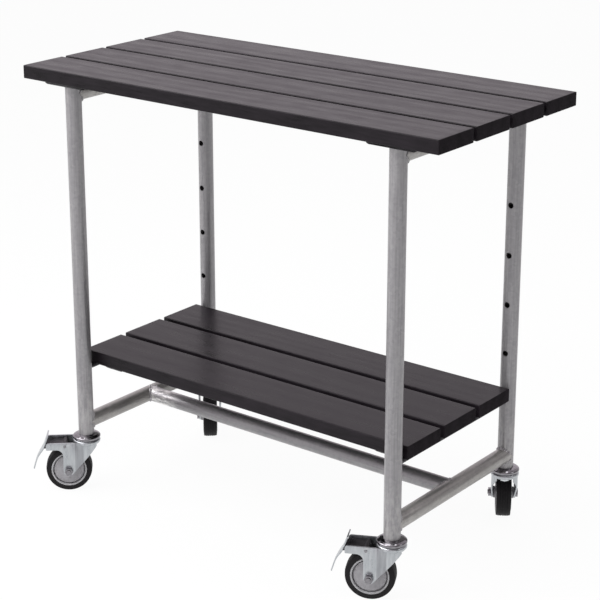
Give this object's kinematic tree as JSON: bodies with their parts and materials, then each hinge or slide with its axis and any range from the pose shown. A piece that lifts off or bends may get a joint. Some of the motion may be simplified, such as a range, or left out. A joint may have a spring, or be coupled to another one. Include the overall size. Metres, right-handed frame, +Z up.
{
  "type": "potting table",
  "caption": "Potting table with a black plank worktop and height-adjustable plank shelf on a galvanised steel tube frame that rolls on swivel castors with foot brakes at the front.",
  "frame": {"origin": "on the floor under the centre of the table's box", "axes": "+X along the worktop to the right, +Y to the rear, +Z up"},
  "size_m": [1.03, 0.5795, 0.938],
  "materials": {
    "galvanised_tube": "hot-dip galvanised, dull grey",
    "black_wood": "black stain, fine grain",
    "screw_steel": "zinc plated",
    "rod_steel": "galvanised",
    "insert_plastic": "matte",
    "bright_zinc": "bright zinc plated",
    "zinc_sheet": "zinc plated pressed sheet",
    "black_rubber": "matte",
    "grey_plastic": "satin"
  },
  "bodies": {
    "frame": {"front_left_leg": "galvanised_tube", "front_right_leg": "galvanised_tube", "rear_left_leg": "galvanised_tube", "rear_right_leg": "galvanised_tube", "left_lower_cross_tube": "galvanised_tube", "left_top_cross_tube": "galvanised_tube", "right_lower_cross_tube": "galvanised_tube", "right_top_cross_tube": "galvanised_tube", "lower_stretcher": "galvanised_tube", "worktop_plank_1": "black_wood", "worktop_plank_2": "black_wood", "worktop_plank_3": "black_wood", "worktop_plank_4": "black_wood", "left_worktop_batten": "black_wood", "right_worktop_batten": "black_wood", "worktop_batten_screws": "screw_steel", "worktop_frame_screws": "screw_steel", "left_shelf_rod": "rod_steel", "right_shelf_rod": "rod_steel", "castor_inserts": "insert_plastic", "castor_stem_bolts": "screw_steel", "front_left_swivel_head": "bright_zinc", "front_right_swivel_head": "bright_zinc", "rear_left_swivel_head": "bright_zinc", "rear_right_swivel_head": "bright_zinc"},
    "shelf": {"shelf_plank_1": "black_wood", "shelf_plank_2": "black_wood", "shelf_plank_3": "black_wood", "left_shelf_batten": "black_wood", "right_shelf_batten": "black_wood", "shelf_screws": "screw_steel"},
    "front_left_castor": {"front_left_fork": "zinc_sheet", "front_left_axle_bolt": "bright_zinc", "front_left_axle_nut": "bright_zinc", "front_left_pedal_pin": "bright_zinc"},
    "front_left_wheel": {"front_left_tyre": "black_rubber", "front_left_wheel_core": "grey_plastic"},
    "front_left_pedal": {"front_left_brake_pedal": "zinc_sheet"},
    "front_right_castor": {"front_right_fork": "zinc_sheet", "front_right_axle_bolt": "bright_zinc", "front_right_axle_nut": "bright_zinc", "front_right_pedal_pin": "bright_zinc"},
    "front_right_wheel": {"front_right_tyre": "black_rubber", "front_right_wheel_core": "grey_plastic"},
    "front_right_pedal": {"front_right_brake_pedal": "zinc_sheet"},
    "rear_left_castor": {"rear_left_fork": "zinc_sheet", "rear_left_axle_bolt": "bright_zinc", "rear_left_axle_nut": "bright_zinc"},
    "rear_left_wheel": {"rear_left_tyre": "black_rubber", "rear_left_wheel_core": "grey_plastic"},
    "rear_right_castor": {"rear_right_fork": "zinc_sheet", "rear_right_axle_bolt": "bright_zinc", "rear_right_axle_nut": "bright_zinc"},
    "rear_right_wheel": {"rear_right_tyre": "black_rubber", "rear_right_wheel_core": "grey_plastic"}
  },
  "joints": [
    {"name": "front_left_swivel", "type": "hinge", "parent": "frame", "child": "front_left_castor", "pos_m": [-0.4065, -0.2063, 0.118], "axis": [0, 0, 1], "continuous": true},
    {"name": "front_left_wheel_spin", "type": "hinge", "parent": "front_left_castor", "child": "front_left_wheel", "pos_m": [-0.43623, -0.23306, 0.05], "axis": [0.6691, -0.7431, 0], "continuous": true},
    {"name": "front_left_brake", "type": "hinge", "parent": "front_left_castor", "child": "front_left_pedal", "pos_m": [-0.44143, -0.23775, 0.108], "axis": [0.6691, -0.7431, 0], "range_deg": [0, 15]},
    {"name": "front_right_swivel", "type": "hinge", "parent": "frame", "child": "front_right_castor", "pos_m": [0.4065, -0.2063, 0.118], "axis": [0, 0, 1], "continuous": true},
    {"name": "front_right_wheel_spin", "type": "hinge", "parent": "front_right_castor", "child": "front_right_wheel", "pos_m": [0.37086, -0.22446, 0.05], "axis": [0.454, -0.891, 0], "continuous": true},
    {"name": "front_right_brake", "type": "hinge", "parent": "front_right_castor", "child": "front_right_pedal", "pos_m": [0.36462, -0.22764, 0.108], "axis": [0.454, -0.891, 0], "range_deg": [0, 15]},
    {"name": "rear_left_swivel", "type": "hinge", "parent": "frame", "child": "rear_left_castor", "pos_m": [-0.4065, 0.2063, 0.118], "axis": [0, 0, 1], "continuous": true},
    {"name": "rear_left_wheel_spin", "type": "hinge", "parent": "rear_left_castor", "child": "rear_left_wheel", "pos_m": [-0.38026, 0.17611, 0.05], "axis": [0.7547, 0.6561, 0], "continuous": true},
    {"name": "rear_right_swivel", "type": "hinge", "parent": "frame", "child": "rear_right_castor", "pos_m": [0.4065, 0.2063, 0.118], "axis": [0, 0, 1], "continuous": true},
    {"name": "rear_right_wheel_spin", "type": "hinge", "parent": "rear_right_castor", "child": "rear_right_wheel", "pos_m": [0.38471, 0.23985, 0.05], "axis": [-0.8387, -0.5446, 0], "continuous": true},
    {"name": "shelf_lift", "type": "slide", "parent": "frame", "child": "shelf", "axis": [0, 0, 1], "range_m": [0, 0.42]}
  ]
}
